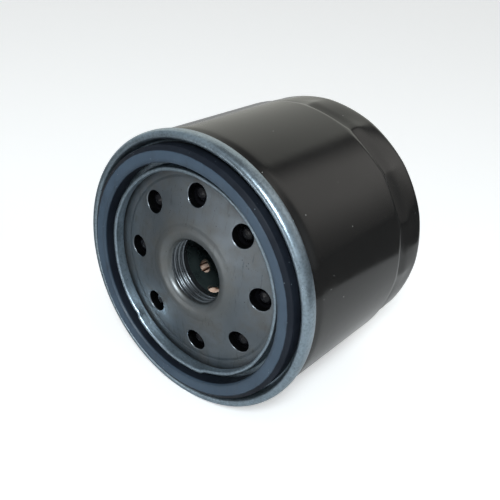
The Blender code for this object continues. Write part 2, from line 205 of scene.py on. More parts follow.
def turned(name, outline, finish, sides=192, warp=None, closed=True):
    """Turns an outline round the axis. warp may move a (radius, angle, depth) point."""
    bm = bmesh.new()
    rings = []
    for radius, depth in outline:
        if radius == 0.0:
            rings.append([bm.verts.new(point(0.0, 0.0, depth))])
            continue
        ring = []
        for i in range(sides):
            spot = (radius, 2 * math.pi * i / sides, depth)
            ring.append(bm.verts.new(point(*(warp(*spot) if warp else spot))))
        rings.append(ring)
    for ring_a, ring_b in zip(rings, rings[1:]):
        bridge(bm, ring_a, ring_b)
    if closed and outline[0][0] > 0.0:
        bridge(bm, rings[-1], rings[0])
    return new_piece(name, bm, finish)


def apply_modifiers(piece):
    graph = bpy.context.evaluated_depsgraph_get()
    mesh = bpy.data.meshes.new_from_object(piece.evaluated_get(graph))
    piece.modifiers.clear()
    piece.data = mesh


def smooth_step(part):
    part = min(max(part, 0.0), 1.0)
    return part * part * (3 - 2 * part)


def dress(piece, body, nodes):
    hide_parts(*nodes)
    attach(piece, body)
    return piece


# Materials

class Nodes:
    """Builds one material's node tree in short calls."""

    def __init__(self, name):
        self.material = bpy.data.materials.new(name)
        self.material.use_nodes = True
        self.tree = self.material.node_tree
        self.shader = self.tree.nodes["Principled BSDF"]
        self.place = self.tree.nodes.new("ShaderNodeNewGeometry").outputs["Position"]

    def link(self, source, target):
        self.tree.links.new(source, target)

    def feed(self, name, source):
        self.link(source, self.shader.inputs[name])

    def set(self, name, value):
        self.shader.inputs[name].default_value = value

    def noise(self, scale, detail=4.0, roughness=0.55, stretch=None, place=None):
        node = self.tree.nodes.new("ShaderNodeTexNoise")
        node.inputs["Scale"].default_value = scale
        node.inputs["Detail"].default_value = detail
        node.inputs["Roughness"].default_value = roughness
        source = place or self.place
        if stretch:
            mapping = self.tree.nodes.new("ShaderNodeMapping")
            mapping.inputs["Scale"].default_value = stretch
            self.link(source, mapping.inputs["Vector"])
            source = mapping.outputs["Vector"]
        self.link(source, node.inputs["Vector"])
        return node.outputs["Fac"]

    def cells(self, scale, feature="F1"):
        node = self.tree.nodes.new("ShaderNodeTexVoronoi")
        node.feature = feature
        node.inputs["Scale"].default_value = scale
        self.link(self.place, node.inputs["Vector"])
        return node.outputs["Distance"]

    def ramp(self, source, stops):
        node = self.tree.nodes.new("ShaderNodeValToRGB")
        elements = node.color_ramp.elements
        while len(elements) < len(stops):
            elements.new(0.5)
        for element, (at, color) in zip(elements, stops):
            element.position = at
            element.color = (*color, 1.0) if len(color) == 3 else color
        self.link(source, node.inputs["Fac"])
        return node.outputs["Color"]

    def grey(self, source, stops):
        return self.ramp(source, [(at, (value, value, value)) for at, value in stops])

    def math(self, kind, a, b=None):
        node = self.tree.nodes.new("ShaderNodeMath")
        node.operation = kind
        for socket, value in zip(node.inputs, (a, b)):
            if value is None:
                continue
            if isinstance(value, (int, float)):
                socket.default_value = value
            else:
                self.link(value, socket)
        return node.outputs["Value"]

    def mix(self, factor, a, b, blend="MIX"):
        node = self.tree.nodes.new("ShaderNodeMix")
        node.data_type = "RGBA"
        node.blend_type = blend
        for socket, value in ((node.inputs[0], factor), (node.inputs[6], a), (node.inputs[7], b)):
            if isinstance(value, (int, float)):
                socket.default_value = value
            elif isinstance(value, tuple):
                socket.default_value = (*value, 1.0)
            else:
                self.link(value, socket)
        return node.outputs[2]

    def bump(self, height, strength, distance, under=None):
        node = self.tree.nodes.new("ShaderNodeBump")
        node.inputs["Strength"].default_value = strength
        node.inputs["Distance"].default_value = distance
        self.link(height, node.inputs["Height"])
        if under:
            self.link(under, node.inputs["Normal"])
        return node.outputs["Normal"]

    def axes(self):
        split = self.tree.nodes.new("ShaderNodeSeparateXYZ")
        self.link(self.place, split.inputs["Vector"])
        return split.outputs

    def radius(self):
        """Distance from the filter's axis, in millimetres."""
        axes = self.axes()
        x = self.math("MULTIPLY", axes["X"], 1 / MM)
        z = self.math("SUBTRACT", self.math("MULTIPLY", axes["Z"], 1 / MM), AXIS_Z)
        squares = self.math("ADD", self.math("MULTIPLY", x, x), self.math("MULTIPLY", z, z))
        return self.math("SQRT", squares)

    def depth(self):
        """Depth behind the gasket's face, in millimetres."""
        return self.math("SUBTRACT", self.math("MULTIPLY", self.axes()["Y"], 1 / MM), FACE_Y)

    def step(self, source, low, high):
        node = self.tree.nodes.new("ShaderNodeMapRange")
        node.interpolation_type = "SMOOTHSTEP"
        node.inputs["From Min"].default_value = low
        node.inputs["From Max"].default_value = high
        self.link(source, node.inputs["Value"])
        return node.outputs["Result"]


def black_paint():
    """Satin-gloss enamel with faint orange peel and a few specks of dust."""
    n = Nodes("black_paint_enamel")
    dust = n.grey(n.cells(420.0), [(0.055, 1.0), (0.075, 0.0)])
    sparse = n.grey(n.noise(160.0, 1.0), [(0.60, 0.0), (0.63, 1.0)])
    speck = n.math("MULTIPLY", dust, sparse)
    tint = n.ramp(n.noise(45.0), [(0.3, (0.0085, 0.0082, 0.0080)), (0.7, (0.0105, 0.0100, 0.0096))])
    n.feed("Base Color", n.mix(speck, tint, (0.25, 0.25, 0.24)))
    n.feed("Roughness", n.grey(n.noise(160.0, 5.0), [(0.3, 0.12), (0.7, 0.17)]))
    n.feed("Normal", n.bump(n.noise(420.0, 2.0, 0.4), 0.03, 0.0002))
    n.set("Specular IOR Level", 0.5)
    return n.material


def zinc_plate():
    """Bluish zinc plating: mottled grain, fine scratches, duller in patches."""
    n = Nodes("zinc_plate_mottled")
    grain = n.noise(1500.0, 3.0, 0.6)
    patch = n.noise(260.0, 5.0, 0.6)
    base = n.ramp(patch, [(0.3, (0.300, 0.375, 0.435)), (0.7, (0.390, 0.480, 0.550))])
    fleck = n.grey(grain, [(0.36, 0.80), (0.5, 1.0), (0.66, 1.12)])
    n.feed("Base Color", n.mix(1.0, base, fleck, "MULTIPLY"))
    n.feed("Roughness", n.grey(n.noise(420.0, 4.0), [(0.3, 0.27), (0.7, 0.39)]))
    n.feed("Normal", n.bump(grain, 0.45, 0.00010, n.bump(patch, 0.1, 0.0002)))
    n.set("Metallic", 0.92)
    return n.material


def bare_steel():
    """Grey phosphated steel of the base plate, stained brown, with rubbed marks."""
    n = Nodes("bare_steel_stained")
    stain = n.noise(130.0, 6.0, 0.62)
    cool = n.ramp(n.noise(60.0, 3.0),
                  [(0.35, (0.158, 0.180, 0.200)), (0.65, (0.212, 0.238, 0.260))])
    base = n.mix(n.grey(stain, [(0.46, 0.0), (0.66, 0.6)]), cool, (0.168, 0.162, 0.152))
    hub = n.math("MULTIPLY", n.step(n.radius(), 16.5, 12.5), 0.40)
    base = n.mix(hub, base, (0.200, 0.198, 0.184))
    marks = n.grey(n.noise(900.0, 3.0, 0.7, (1.0, 1.0, 0.18)), [(0.30, 0.55), (0.42, 1.0)])
    base = n.mix(0.55, base, marks, "MULTIPLY")
    pits = n.math("MULTIPLY", n.grey(n.cells(1100.0), [(0.10, 1.0), (0.20, 0.0)]),
                  n.grey(n.noise(210.0, 2.0), [(0.56, 0.0), (0.66, 1.0)]))
    base = n.mix(n.math("MULTIPLY", pits, 0.75), base, (0.035, 0.033, 0.030))
    n.feed("Base Color", base)
    n.feed("Roughness", n.grey(stain, [(0.3, 0.34), (0.7, 0.52)]))
    grain = n.bump(n.noise(2600.0, 2.0), 0.10, 0.00005)
    n.feed("Normal", n.bump(n.noise(300.0, 3.0), 0.06, 0.0003, grain))
    n.set("Metallic", 0.85)
    return n.material


def worked_steel(name, low, high, roughness):
    """Bare steel of one colour range and roughness: the cut thread, the holes' walls darkened as
    painted shade, and their rubbed edges lightened with a painted highlight.
    """
    n = Nodes(name)
    n.feed("Base Color", n.ramp(n.noise(700.0, 3.0), [(0.3, low), (0.7, high)]))
    n.feed("Roughness", n.grey(n.noise(400.0, 2.0), [(0.3, roughness), (0.7, roughness + 0.06)]))
    n.feed("Normal", n.bump(n.noise(900.0, 1.0), 0.01, 0.00003))
    n.set("Metallic", 0.95)
    return n.material


def gasket_rubber():
    """Moulded nitrile, blotchy in tone: a lighter blue-grey on the pressed face as a painted sheen,
    and dark side walls as painted shade.
    """
    n = Nodes("gasket_rubber_painted_light")
    bloom = n.noise(110.0, 5.0, 0.6)
    smear = n.noise(500.0, 4.0, 0.65, (1.0, 1.0, 0.35))
    # Lighter blue-grey of the sealing face: a painted sheen, as if lit.
    face = n.ramp(bloom, [(0.3, (0.034, 0.058, 0.090)), (0.7, (0.048, 0.078, 0.116))])
    face = n.mix(n.grey(smear, [(0.30, 0.5), (0.45, 0.0)]), face, (0.028, 0.036, 0.050))
    # Dark colour of the side walls: painted shade.
    wall = n.ramp(bloom, [(0.3, (0.007, 0.009, 0.014)), (0.7, (0.014, 0.018, 0.026))])
    flecks = n.math("MULTIPLY", n.grey(n.cells(620.0), [(0.07, 1.0), (0.12, 0.0)]),
                    n.grey(n.noise(130.0, 2.0), [(0.50, 0.0), (0.60, 1.0)]))
    # The face darkens towards its inner edge.
    face = n.mix(n.step(n.radius(), 31.7, 30.6), face, n.mix(0.24, face, (0.010, 0.014, 0.018)))
    # Mask of the lit face: shallower than 0.4 mm and inside a ragged edge near 33.6 mm; the sloped
    # outer edge and the walls beyond it take the painted shade.
    ragged = n.math("ADD", n.radius(), n.math("MULTIPLY", n.noise(420.0, 4.0, 0.6), 0.3))
    front = n.math("MULTIPLY", n.step(n.depth(), 1.0, 0.4), n.step(ragged, 33.75, 33.40))
    base = n.mix(n.math("MULTIPLY", flecks, 0.6), n.mix(front, wall, face), (0.16, 0.20, 0.24))
    n.feed("Base Color", base)
    n.feed("Roughness", n.grey(smear, [(0.3, 0.40), (0.7, 0.56)]))
    n.feed("Normal", n.bump(n.noise(1800.0, 3.0), 0.10, 0.00008))
    # Less specular on the walls than on the face, which darkens the shaded walls further.
    n.feed("Specular IOR Level", n.grey(front, [(0.0, 0.12), (1.0, 0.45)]))
    return n.material


def valve_rubber():
    """Glossy oiled black rubber of the anti-drain-back valve."""
    n = Nodes("valve_rubber_gloss")
    black = n.ramp(n.noise(200.0), [(0.3, (0.004, 0.004, 0.005)), (0.7, (0.008, 0.008, 0.010))])
    n.feed("Base Color", black)
    n.feed("Roughness", n.grey(n.noise(350.0, 3.0), [(0.3, 0.20), (0.7, 0.30)]))
    n.feed("Normal", n.bump(n.noise(500.0, 2.0), 0.03, 0.0001))
    n.set("Specular IOR Level", 0.24)
    return n.material


def dark_steel():
    """Oiled dark steel of the perforated centre tube, slightly green."""
    n = Nodes("dark_steel_oiled")
    film = n.noise(220.0, 5.0)
    n.feed("Base Color", n.ramp(film, [(0.3, (0.050, 0.075, 0.078)), (0.7, (0.110, 0.150, 0.150))]))
    n.feed("Roughness", n.grey(film, [(0.3, 0.20), (0.7, 0.36)]))
    n.feed("Normal", n.bump(n.noise(900.0, 3.0, 0.6, (1.0, 0.2, 1.0)), 0.10, 0.0001))
    n.set("Metallic", 0.8)
    return n.material


def tan_paper():
    """Resin-treated filter paper: fibres, fine embossing and tone changes."""
    n = Nodes("tan_paper_fibre")
    fibre = n.noise(2400.0, 5.0, 0.7, (1.0, 0.25, 1.0))
    base = n.ramp(n.noise(300.0, 3.0), [(0.3, (0.66, 0.46, 0.36)), (0.7, (0.80, 0.60, 0.48))])
    n.feed("Base Color", n.mix(0.5, base, n.grey(fibre, [(0.3, 0.7), (0.6, 1.05)]), "MULTIPLY"))
    n.feed("Roughness", n.grey(fibre, [(0.3, 0.75), (0.7, 0.92)]))
    n.feed("Normal", n.bump(fibre, 0.35, 0.0001))
    n.set("Specular IOR Level", 0.2)
    return n.material


def potting_resin():
    """Cured adhesive, slightly uneven and waxy."""
    n = Nodes("potting_resin_cured")
    amber = n.ramp(n.noise(240.0, 4.0), [(0.3, (0.17, 0.13, 0.08)), (0.7, (0.27, 0.21, 0.13))])
    n.feed("Base Color", amber)
    n.feed("Roughness", n.grey(n.noise(500.0, 3.0), [(0.3, 0.38), (0.7, 0.55)]))
    n.feed("Normal", n.bump(n.noise(260.0, 3.0), 0.3, 0.0003))
    return n.material


def spring_steel():
    """Bright spring steel with drawing lines."""
    n = Nodes("spring_steel_drawn")
    lines = n.noise(1400.0, 3.0, 0.6, (1.0, 0.12, 1.0))
    n.feed("Base Color", n.ramp(lines, [(0.3, (0.30, 0.31, 0.33)), (0.7, (0.50, 0.51, 0.53))]))
    n.feed("Roughness", n.grey(lines, [(0.3, 0.22), (0.7, 0.36)]))
    n.feed("Normal", n.bump(lines, 0.12, 0.00006))
    n.set("Metallic", 1.0)
    return n.material


# Outside of the filter

def soft_limit(value, limit, soft):
    """The value, held at its limit with a soft corner."""
    part = min(max(0.5 + (limit - value) / (2 * soft), 0.0), 1.0)
    return limit * (1 - part) + value * part - soft * part * (1 - part)


def flat_radius(angle, roundness):
    """Radius of the wrench flats at an angle, corners softened, part of the way to a round."""
    width = 2 * math.pi / FLAT_COUNT
    from_middle = (angle - FLAT_PHASE) % width - width / 2
    straight = FLAT_CORNER_RADIUS * math.cos(width / 2) / math.cos(from_middle)
    flat = soft_limit(straight, FLAT_CORNER_RADIUS + 0.02, FLAT_CORNER_SOFTNESS)
    return flat + (FLAT_CORNER_RADIUS - 0.38 - flat) * roundness


def canister(finish):
    """Drawn can: necked at the seam, stepped in to the flats, its end rounded and dished."""
    neck_inset = 0.42
    step_reach, step_power = 3.1, 2.3
    dip_inset = 0.30
    roundest = 0.85
    step_rows, wall_rows, bend_rows, dish_rows = 36, 14, 8, 8
    shoulder = 3.2
    dish = 20.0
    dish_depth = 1.0
    stations = []

    def wall(depth):
        def at(angle):
            neck = neck_inset * (1 - smooth_step((depth - 6.0) / 3.4))
            into = (max(depth - STEP_START, 0.0) / step_reach) ** step_power
            part = soft_limit(into, 1.0, 0.5)
            dip = dip_inset * smooth_step((depth - 47.1) / 1.5) * smooth_step((53.5 - depth) / 4.8)
            roundness = roundest * smooth_step((depth - 50.5) / 7.5)
            flat = flat_radius(angle, roundness) - dip
            return CAN_RADIUS - neck + (flat - CAN_RADIUS) * part, depth
        return at

    def bend(turn):
        def at(angle):
            middle = flat_radius(angle, roundest) - shoulder
            depth = LENGTH - shoulder + shoulder * math.sin(turn)
            return middle + shoulder * math.cos(turn), depth
        return at

    def face(radius, depth):
        return lambda angle: (radius, depth)

    for depth in (3.3, 5.0, 5.8, 6.3, 6.8, 7.3, 7.8, 8.3, 8.8, 9.4, 11.0, 13.0, 20.0, 30.0, 40.0):
        stations.append(wall(depth))
    for i in range(step_rows + 1):
        stations.append(wall(STEP_START + (STEP_END - STEP_START) * i / step_rows))
    for i in range(1, wall_rows + 1):
        stations.append(wall(STEP_END + (LENGTH - shoulder - STEP_END) * i / wall_rows))
    for i in range(1, bend_rows + 1):
        stations.append(bend(math.pi / 2 * i / bend_rows))
    for radius in (32.0, 29.0, 26.0, dish + 3.2):
        stations.append(face(radius, LENGTH))
    for i in range(dish_rows + 1):
        part = i / dish_rows
        stations.append(face(dish + 2.6 - 2.6 * part, LENGTH - dish_depth * smooth_step(part)))
    for radius in (dish - 1.0, 14.0, 7.0, 2.0):
        rise = 0.35 * (1 - (radius / dish) ** 2)
        stations.append(face(radius, LENGTH - dish_depth + rise))

    sides = 360
    bm = bmesh.new()
    angles = [FLAT_PHASE + 2 * math.pi * i / sides for i in range(sides)]
    rings = []
    for at in stations:
        ring = []
        for angle in angles:
            radius, depth = at(angle)
            ring.append(bm.verts.new(point(radius, angle, depth)))
        rings.append(ring)
    rings.append([bm.verts.new(point(0.0, 0.0, LENGTH - dish_depth + 0.36))])
    for ring_a, ring_b in zip(rings, rings[1:]):
        bridge(bm, ring_a, ring_b)
    piece = new_piece("canister_shell", bm, finish)
    sheet = piece.modifiers.new("sheet", "SOLIDIFY")
    sheet.thickness = SHEET * MM
    sheet.offset = -1.0
    return piece


def full(part):
    """Fills out a circle's sine or cosine, for a slightly squarer roll."""
    return math.copysign(abs(part) ** 0.88, part)


def seam_retainer(finish):
    """Zinc lid: rolled rim, gasket channel, and a hemmed inner collar staked in places."""
    groove = RIM_RADIUS - 2.6
    floor = PLATE_FACE - GAP - SHEET
    curl = CAN_RADIUS + GAP
    hem_foot = COLLAR_TOP + 2.3
    half_width = (RIM_RADIUS - groove) / 2
    roll = []
    for turn in range(0, 226, 9):
        across, along = -math.cos(math.radians(turn)), math.sin(math.radians(turn))
        reach = ROLL_FRONT if along > 0 else ROLL_BACK
        radius = groove + half_width * (1 + full(across))
        roll.append((radius, ROLL_MIDDLE - reach * full(along), 0.0))
    corners = [
        (COLLAR_RADIUS - HEM, hem_foot, 0.25),
        (COLLAR_RADIUS - HEM, COLLAR_TOP, 0.5),
        (COLLAR_RADIUS, COLLAR_TOP, 0.5),
        (COLLAR_RADIUS, floor, 0.5),
        (groove, floor, 0.6),
        *roll,
        (curl, 2.9, 0.1),
        (groove + SHEET, 2.9, 0.1),
        (groove + SHEET, floor + SHEET, 0.1),
        (COLLAR_RADIUS - SHEET, floor + SHEET, 0.6),
        (COLLAR_RADIUS - SHEET, hem_foot, 0.15),
    ]
    stakes = (
        (math.radians(227), math.radians(285), 0.50),
        (math.radians(159), math.radians(227), 0.20),
    )
    ease = math.radians(3.5)
    foot = floor - 0.3

    def staked(radius, angle, depth):
        """Opens the collar's end along the staked stretches."""
        if radius > COLLAR_RADIUS + 0.2 or depth > foot:
            return radius, angle, depth
        height = smooth_step((foot - depth) / (foot - COLLAR_TOP))
        flare = 0.0
        for start, end, amount in stakes:
            into = smooth_step((angle - start) / ease) * smooth_step((end - angle) / ease)
            flare += amount * into
        uneven = 0.06 * math.sin(7 * angle + 1.0) + 0.04 * math.sin(17 * angle)
        return radius + (flare + uneven) * height, angle, depth - 0.4 * flare * height

    return turned("seam_lid", rounded(corners, 8), finish, 320, staked)


def gasket(finish):
    """Moulded ring: a flat sealing face with a shallow line round it and a sloped edge."""
    corners = [
        (GASKET_INNER, 0.45, 0.3),
        (GASKET_INNER + 0.35, 0.0, 0.15),
        (33.22, 0.0, 0.05),
        (33.34, 0.10, 0.04),
        (33.50, 0.04, 0.06),
        (GASKET_OUTER, 0.85, 0.35),
        (GASKET_OUTER, GASKET_HEIGHT, 0.3),
        (GASKET_INNER, GASKET_HEIGHT, 0.3),
    ]

    def moulded(radius, angle, depth):
        wave = 0.03 * math.sin(3 * angle + 0.6) + 0.02 * math.sin(8 * angle)
        return radius, angle, depth + (0.03 + wave) * (1 - smooth_step(depth / 2.0))

    return turned("gasket_ring", rounded(corners, 5), finish, 320, moulded)


# Base plate

HOLE_STEPS = (20, 14)


def plate_front():
    """Front outline from the plate's edge in to the thread, as (radius, depth), radius falling."""
    corners = [
        (PLATE_EDGE, PLATE_FACE, 0.0),
        (26.0, PLATE_FACE, 0.8),
        (25.3, 5.70, 0.8),
        (22.5, 5.35, 6.0),
        (17.5, 4.45, 12.0),
        (13.7, 3.60, 3.0),
        (12.9, 3.30, 1.6),
        (11.4, 2.90, 2.6),
        (9.5, 3.55, 1.7),
        (THREAD_MINOR + 0.05, THREAD_START, 0.0),
    ]
    return rounded(corners, 8, closed=False)


def depth_on(outline, radius):
    """Depth of an outline at a radius; the outline's radius falls along it."""
    radii = [-spot[0] for spot in outline]
    i = min(max(bisect.bisect(radii, -radius), 1), len(outline) - 1)
    (r0, d0), (r1, d1) = outline[i - 1], outline[i]
    part = 0.0 if r0 == r1 else (r0 - radius) / (r0 - r1)
    return d0 + (d1 - d0) * min(max(part, 0.0), 1.0)


def thread_radius(angle, depth):
    """Wall of the right-handed thread, fading in at its mouth and out at a relief."""
    turn = (depth - THREAD_START) / THREAD_PITCH + angle / (2 * math.pi)
    wave = abs((turn % 1.0) * 2 - 1)
    tooth = smooth_step((wave - 0.12) / 0.76)
    fade = smooth_step((depth - THREAD_START + 0.5) / 0.9) * smooth_step((THREAD_END - depth) / 0.5)
    relief = RELIEF_DEPTH * smooth_step((depth - RELIEF_START) / 0.5)
    return THREAD_MINOR + (THREAD_MAJOR - THREAD_MINOR) * tooth * fade + relief


def hole_patch(bm, outline, seam, centre_angle, inner, outer):
    """Surface from a sector's border in to the round hole in its middle; returns its last ring."""
    half = math.pi / INLET_COUNT
    around, across = HOLE_STEPS
    border = []
    for k in range(around):
        border.append((inner, centre_angle - half + 2 * half * k / around))
    for k in range(across):
        border.append((inner + (outer - inner) * k / across, centre_angle + half))
    for k in range(around):
        border.append((outer, centre_angle + half - 2 * half * k / around))
    for k in range(across):
        border.append((outer - (outer - inner) * k / across, centre_angle - half))
    steps = 8
    rows = []
    middle = polar(INLET_CIRCLE, centre_angle)
    for step in range(steps + 1):
        ease = 1 - (1 - step / steps) ** 1.5
        ring = []
        for radius, angle in border:
            spot = polar(radius, angle)
            toward = (spot - middle).normalized() * (INLET_RADIUS + seam) + middle
            here = spot.lerp(toward, ease)
            depth = depth_on(outline, here.length)
            ring.append(bm.verts.new(point(here.length, math.atan2(here.y, here.x), depth)))
        rows.append(ring)
    for ring_a, ring_b in zip(rows, rows[1:]):
        bridge(bm, ring_a, ring_b)
    return rows[-1]


def base_plate(finish):
    """Tapping plate: flat rim, coned middle, rounded inlet holes, and the neck's thread."""
    front = plate_front()
    back = [(radius, depth + PLATE_THICKNESS) for radius, depth in front]
    ring_in, ring_out = 17.6, 25.2
    sides = INLET_COUNT * HOLE_STEPS[0]
    start = INLET_PHASE - math.pi / INLET_COUNT
    angles = [start + 2 * math.pi * i / sides for i in range(sides)]
    bm = bmesh.new()

    def ring(radius, depth):
        return [bm.verts.new(point(radius, angle, depth)) for angle in angles]

    def chain(rows, slot=0):
        for ring_a, ring_b in zip(rows, rows[1:]):
            bridge(bm, ring_a, ring_b, slot)

    outer_front = [p for p in front if p[0] > ring_out] + [(ring_out, depth_on(front, ring_out))]
    inner_front = [(ring_in, depth_on(front, ring_in))] + [p for p in front if p[0] < ring_in]
    chain([ring(*p) for p in outer_front])
    inner_front = [ring(*p) for p in inner_front]
    chain(inner_front)
    thread = [inner_front[-1]]
    count = 120
    for k in range(1, count + 1):
        depth = THREAD_START + (NECK_END - THREAD_START) * k / count
        thread.append([
            bm.verts.new(point(thread_radius(angle, depth), angle, depth)) for angle in angles
        ])
    chain(thread, CUT)
    neck_back = [
        (THREAD_MINOR + 0.75, NECK_END + 0.02),
        (NECK_RADIUS - 0.3, NECK_END + 0.02),
        (NECK_RADIUS, NECK_END - 0.25),
        (NECK_RADIUS, 8.2),
        (NECK_RADIUS + 0.35, 7.3),
        (NECK_RADIUS + 1.3, 6.6),
        (13.6, depth_on(back, 13.6) + 0.15),
        (ring_in, depth_on(back, ring_in)),
    ]
    chain([thread[-1]] + [ring(*spot) for spot in neck_back])
    skirt = PLATE_EDGE - 1.4
    rear = PLATE_FACE + PLATE_THICKNESS
    edge = [
        (ring_out, depth_on(back, ring_out)),
        (skirt - 0.6, rear),
        (skirt, rear + 0.6),
        (skirt, rear + 2.1),
        (PLATE_EDGE, rear + 2.1),
        (PLATE_EDGE, PLATE_FACE),
    ]
    chain([ring(*spot) for spot in edge])

    lip = 0.22
    for i in range(INLET_COUNT):
        angle = inlet_angle(i)
        middle = polar(INLET_CIRCLE, angle)
        top = hole_patch(bm, front, lip, angle, ring_in, ring_out)
        low = hole_patch(bm, back, 0.05, angle, ring_in, ring_out)
        rolled = [top]
        for turn in (15.0, 30.0, 45.0, 60.0, 75.0, 90.0):
            rise = math.radians(turn)
            grow, sink = lip * (1 - math.sin(rise)), lip * (1 - math.cos(rise))
            rolled.append(hole_ring(bm, top, middle, grow, sink))
        # The holes' rolled edges: smoother steel, lighter in colour as a painted highlight.
        chain(rolled, RUBBED_EDGE_HIGHLIGHT)
        # The holes' walls take steel painted very dark, as painted shade in the holes.
        chain([rolled[-1], hole_ring(bm, low, middle, 0.0, -0.12), low], HOLE_WALL_SHADE)
    return new_piece("tapping_plate", bm, finish)


def hole_ring(bm, base, middle, grow, sink):
    """A ring round a hole, made from another: grown off the hole's wall and sunk deeper."""
    ring = []
    for vert in base:
        x = vert.co.x / MM
        z = vert.co.z / MM - AXIS_Z
        out = (Vector((x, z)) - middle).normalized() * (INLET_RADIUS + grow) + middle
        depth = vert.co.y / MM - FACE_Y + sink
        ring.append(bm.verts.new(point(out.length, math.atan2(out.y, out.x), depth)))
    return ring


# Inside of the filter

def antidrain_valve(finish):
    """One rubber moulding: a collar round the neck, and a lip with a dome in each inlet hole."""
    fine_steps = 36
    dome_height, dome_top, dome_slope = 1.85, 1.2, 1.75
    corners = [
        (NECK_RADIUS + 0.45, 8.1, 0.2),
        (14.3, 7.9, 0.8),
        (17.0, 8.30, 1.0),
        (26.3, 8.55, 0.4),
        (26.8, 9.0, 0.4),
        (26.2, 9.8, 0.4),
        (24.0, 10.0, 1.5),
        (15.8, 10.2, 1.5),
        (14.2, 11.8, 0.3),
        (NECK_RADIUS + 0.45, 11.8, 0.3),
    ]
    outline = []
    for radius, depth in rounded(corners, 5):
        if outline and abs(radius - outline[-1][0]) > 2.0 and depth < 9.0:
            last_radius, last_depth = outline[-1]
            for k in range(1, fine_steps):
                across = last_radius + (radius - last_radius) * k / fine_steps
                outline.append((across, last_depth + (depth - last_depth) * k / fine_steps))
        outline.append((radius, depth))
    middles = [polar(INLET_CIRCLE, inlet_angle(i)) for i in range(INLET_COUNT)]

    def dimpled(radius, angle, depth):
        """Raises the front of the lip in a low dome with a pip on it, inside each hole."""
        if depth > 8.9:
            return radius, angle, depth
        spot = polar(radius, angle)
        away = min((spot - middle).length for middle in middles)
        dome = dome_height * (1 - smooth_step((away - dome_top) / dome_slope))
        dome -= 0.15 * min(away, dome_top)
        pip = 0.10 * (1 - smooth_step(away / 0.7))
        return radius, angle, depth - max(dome, 0.0) - pip

    return turned("antidrain_valve", outline, finish, 512, dimpled)


def punched_tube(finish):
    """Centre tube with its staggered rows of round perforations."""
    inner, outer = 9.6, 10.3
    start, end = 11.8, 49.9
    rows, step, first = 10, 3.15, 14.0
    per_row = 4
    phase = math.radians(-95.0)
    radius = 1.9
    without_hole = (0, 3)
    corners = [(inner, start, 0.1), (outer, start, 0.1), (outer, end, 0.1), (inner, end, 0.1)]
    tube = turned("perforated_tube", rounded(corners, 2), finish, 96)
    bm = bmesh.new()
    for row in range(rows):
        for i in range(per_row):
            if (row, i) == without_hole:
                continue
            angle = phase + (row % 2) * math.pi / per_row + 2 * math.pi * i / per_row
            depth = first + row * step
            across = Vector((-math.sin(angle), 0.0, math.cos(angle)))
            rings = []
            for reach in (inner - 2, outer + 2):
                centre = point(reach, angle, depth)
                ring = []
                for k in range(24):
                    turn = 2 * math.pi * k / 24
                    offset = across * math.cos(turn) + Vector((0.0, math.sin(turn), 0.0))
                    ring.append(bm.verts.new(centre + offset * radius * MM))
                rings.append(ring)
            bridge(bm, rings[0], rings[1])
            bm.faces.new(rings[0])
            bm.faces.new(rings[1])
    punch = new_piece("tube_punch", bm, finish, smooth=False)
    cut = tube.modifiers.new("holes", "BOOLEAN")
    cut.operation = "DIFFERENCE"
    cut.solver = "EXACT"
    cut.object = punch
    apply_modifiers(tube)
    bpy.data.objects.remove(punch, do_unlink=True)
    tube.data.set_sharp_from_angle(angle=math.radians(40))
    return tube


def pleated_paper(finish):
    """Folded paper with rounded folds, from one side of its seam to the other."""
    pleats = 44
    inner, outer = 11.9, 30.7
    start, end = 13.7, 48.6
    allowance = math.radians(2.5)
    pitch = (2 * math.pi - 2 * allowance) / pleats
    end_radius, end_gap = 28.0, 0.4
    path = [Vector((end_radius, end_gap)), polar(inner, allowance)]
    for i in range(pleats):
        if i > 0:
            path += fold(inner, allowance + pitch * i, 0.36, -1)
        path += fold(outer, allowance + pitch * (i + 0.5), 0.6, 1)
    path += [polar(inner, -allowance), Vector((end_radius, -end_gap))]
    bm = bmesh.new()
    rows = []
    for depth in (start, (start * 2 + end) / 3, (start + end * 2) / 3, end):
        rows.append([bm.verts.new(point(p.length, -math.atan2(p.y, p.x), depth)) for p in path])
    for row_a, row_b in zip(rows, rows[1:]):
        for i in range(len(path) - 1):
            bm.faces.new((row_a[i], row_a[i + 1], row_b[i + 1], row_b[i]))
    paper = new_piece("pleated_paper", bm, finish)
    sheet = paper.modifiers.new("paper", "SOLIDIFY")
    sheet.thickness = 0.42 * MM
    sheet.offset = 0.0
    return paper


def fold(radius, angle, half_width, side):
    """Three points round a fold of the paper; side is 1 for an outer fold, -1 for an inner."""
    spread = half_width / radius
    eased = radius - side * 0.3
    return [polar(eased, angle - spread), polar(radius, angle), polar(eased, angle + spread)]


def coil_spring(finish):
    """Bypass spring: evenly wound round wire between its retainer and the disc."""
    turns, radius, wire = 3.5, 5.6, 0.45
    start, end = 42.4, 48.1
    bm = bmesh.new()
    rings = []
    count, wire_sides = 168, 14
    for i in range(count + 1):
        part = i / count
        turn = 2 * math.pi * turns * part
        depth = start + (end - start) * part
        ring = []
        for k in range(wire_sides):
            angle = 2 * math.pi * k / wire_sides
            across, along = wire * math.cos(angle), wire * math.sin(angle)
            ring.append(bm.verts.new(point(radius + across, -turn, depth + along)))
        rings.append(ring)
    for ring_a, ring_b in zip(rings, rings[1:]):
        bridge(bm, ring_a, ring_b)
    bm.faces.new(rings[0])
    bm.faces.new(rings[-1])
    return new_piece("bypass_coil", bm, finish)


# Stage

